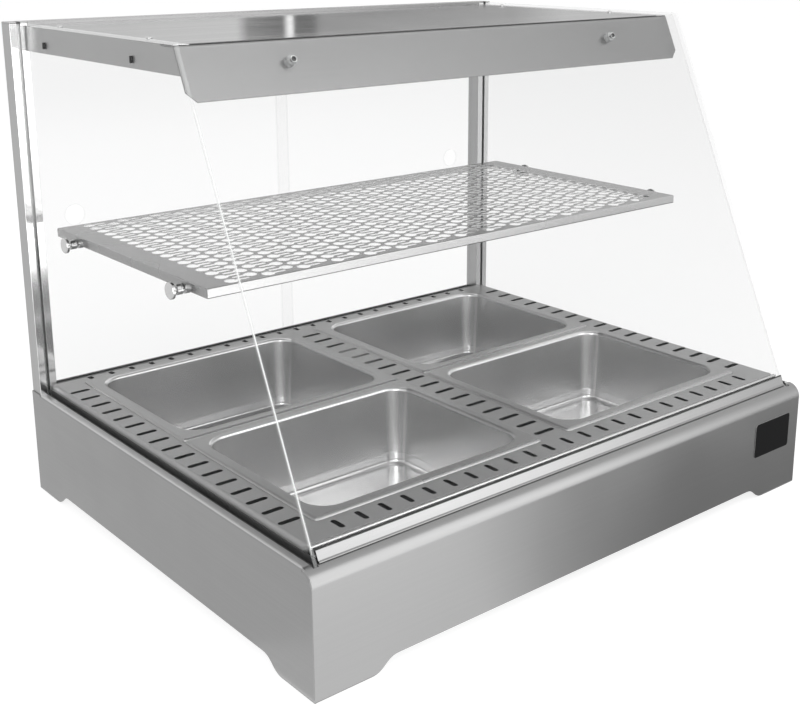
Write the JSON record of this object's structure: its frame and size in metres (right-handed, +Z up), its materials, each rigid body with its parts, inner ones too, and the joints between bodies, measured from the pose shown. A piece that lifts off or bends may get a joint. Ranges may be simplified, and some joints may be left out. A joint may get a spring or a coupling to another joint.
{
  "type": "heated display case",
  "caption": "Countertop heated food display case: stainless base with lift-out pans, sloping glass front, perforated shelf, flat roof and sliding rear glass doors.",
  "frame": {"origin": "on the counter under the middle of the case, at the bottom of the rubber feet", "axes": "+Z up, -Y towards the customer at the sloping glass front, +Y towards the operator's doors, +X to the right seen from the front"},
  "size_m": [0.796, 0.6418, 0.6211],
  "materials": {
    "base_steel": "brushed stainless steel sheet",
    "deck_steel": "satin stainless steel sheet",
    "pan_steel": "smooth pressed stainless steel",
    "roof_steel": "brushed stainless steel sheet",
    "shelf_steel": "perforated stainless steel",
    "polished_aluminium": "polished extrusion",
    "turned_steel": "turned and polished",
    "glass": "clear float glass with ground edges",
    "rubber": "black rubber seal",
    "black_plastic": "fine textured black plastic",
    "dark_track": "dark grey extruded track",
    "badge_black": "glossy black plate, blank",
    "red_lens": "red translucent lens",
    "switch_green": "green translucent rocker",
    "element_steel": "oxidised tubular heating element",
    "ceramic_white": "white ceramic",
    "tray_steel": "aluminised steel tray",
    "zinc": "zinc plated steel",
    "lamp_glass": "frosted lamp tube"
  },
  "bodies": {
    "case": {"badge_plate": "badge_black", "base_floor": "base_steel", "base_front_panel": "base_steel", "base_rear_panel": "base_steel", "base_side_left": "base_steel", "base_side_right": "base_steel", "cable_gland": "black_plastic", "ceiling_panel": "roof_steel", "deck_plate": "deck_steel", "door_track_bottom": "dark_track", "door_track_top": "polished_aluminium", "element_bars": "tray_steel", "element_insulators": "ceramic_white", "front_glass": "glass", "front_glass_rail": "polished_aluminium", "front_glass_seal": "rubber", "glass_nuts": "zinc", "glass_screws": "turned_steel", "glass_spacers": "rubber", "heater_tray": "tray_steel", "heating_element_left": "element_steel", "heating_element_right": "element_steel", "lamp_holders": "ceramic_white", "lamp_tube": "lamp_glass", "light_switch_frame": "black_plastic", "pilot_lamp": "red_lens", "power_switch_frame": "black_plastic", "roof_cap": "roof_steel", "roof_fascia": "roof_steel", "roof_rail_left": "roof_steel", "roof_rail_right": "roof_steel", "roof_screws": "turned_steel", "rubber_feet": "rubber", "shelf_studs": "turned_steel", "side_glass_bumpers": "rubber", "side_glass_left": "glass", "side_glass_right": "glass", "side_seal_left": "rubber", "side_seal_right": "rubber", "terminal_block": "ceramic_white", "thermostat_body": "black_plastic", "tray_standoffs": "tray_steel", "upright_caps": "polished_aluminium", "upright_left": "polished_aluminium", "upright_right": "polished_aluminium"},
    "pan_front_left": {"pan_front_left": "pan_steel"},
    "pan_front_right": {"pan_front_right": "pan_steel"},
    "pan_rear_left": {"pan_rear_left": "pan_steel"},
    "pan_rear_right": {"pan_rear_right": "pan_steel"},
    "shelf": {"shelf_frame": "shelf_steel", "shelf_plate": "shelf_steel"},
    "door_left": {"door_left": "glass"},
    "door_right": {"door_right": "glass"},
    "thermostat_knob": {"thermostat_knob": "black_plastic", "thermostat_shaft": "zinc"},
    "power_switch": {"power_switch_rocker": "switch_green"},
    "light_switch": {"light_switch_rocker": "black_plastic"}
  },
  "joints": [
    {"name": "pan_front_left_lift", "type": "slide", "parent": "case", "child": "pan_front_left", "axis": [0, 0, 1], "range_m": [0, 0.085]},
    {"name": "pan_front_right_lift", "type": "slide", "parent": "case", "child": "pan_front_right", "axis": [0, 0, 1], "range_m": [0, 0.085]},
    {"name": "pan_rear_left_lift", "type": "slide", "parent": "case", "child": "pan_rear_left", "axis": [0, 0, 1], "range_m": [0, 0.125]},
    {"name": "pan_rear_right_lift", "type": "slide", "parent": "case", "child": "pan_rear_right", "axis": [0, 0, 1], "range_m": [0, 0.125]},
    {"name": "shelf_lift", "type": "slide", "parent": "case", "child": "shelf", "axis": [0, 0, 1], "range_m": [0, 0.1]},
    {"name": "door_left_slide", "type": "slide", "parent": "case", "child": "door_left", "axis": [1, 0, 0], "range_m": [0, 0.36]},
    {"name": "door_right_slide", "type": "slide", "parent": "case", "child": "door_right", "axis": [-1, 0, 0], "range_m": [0, 0.36]},
    {"name": "thermostat_turn", "type": "hinge", "parent": "case", "child": "thermostat_knob", "pos_m": [0.25, 0.2965, 0.074], "axis": [0, -1, 0], "range_deg": [0, 270]},
    {"name": "power_switch_rock", "type": "hinge", "parent": "case", "child": "power_switch", "pos_m": [0.18, 0.295, 0.074], "axis": [1, 0, 0], "range_deg": [0, 20]},
    {"name": "light_switch_rock", "type": "hinge", "parent": "case", "child": "light_switch", "pos_m": [0.14, 0.295, 0.074], "axis": [1, 0, 0], "range_deg": [0, 20]}
  ]
}
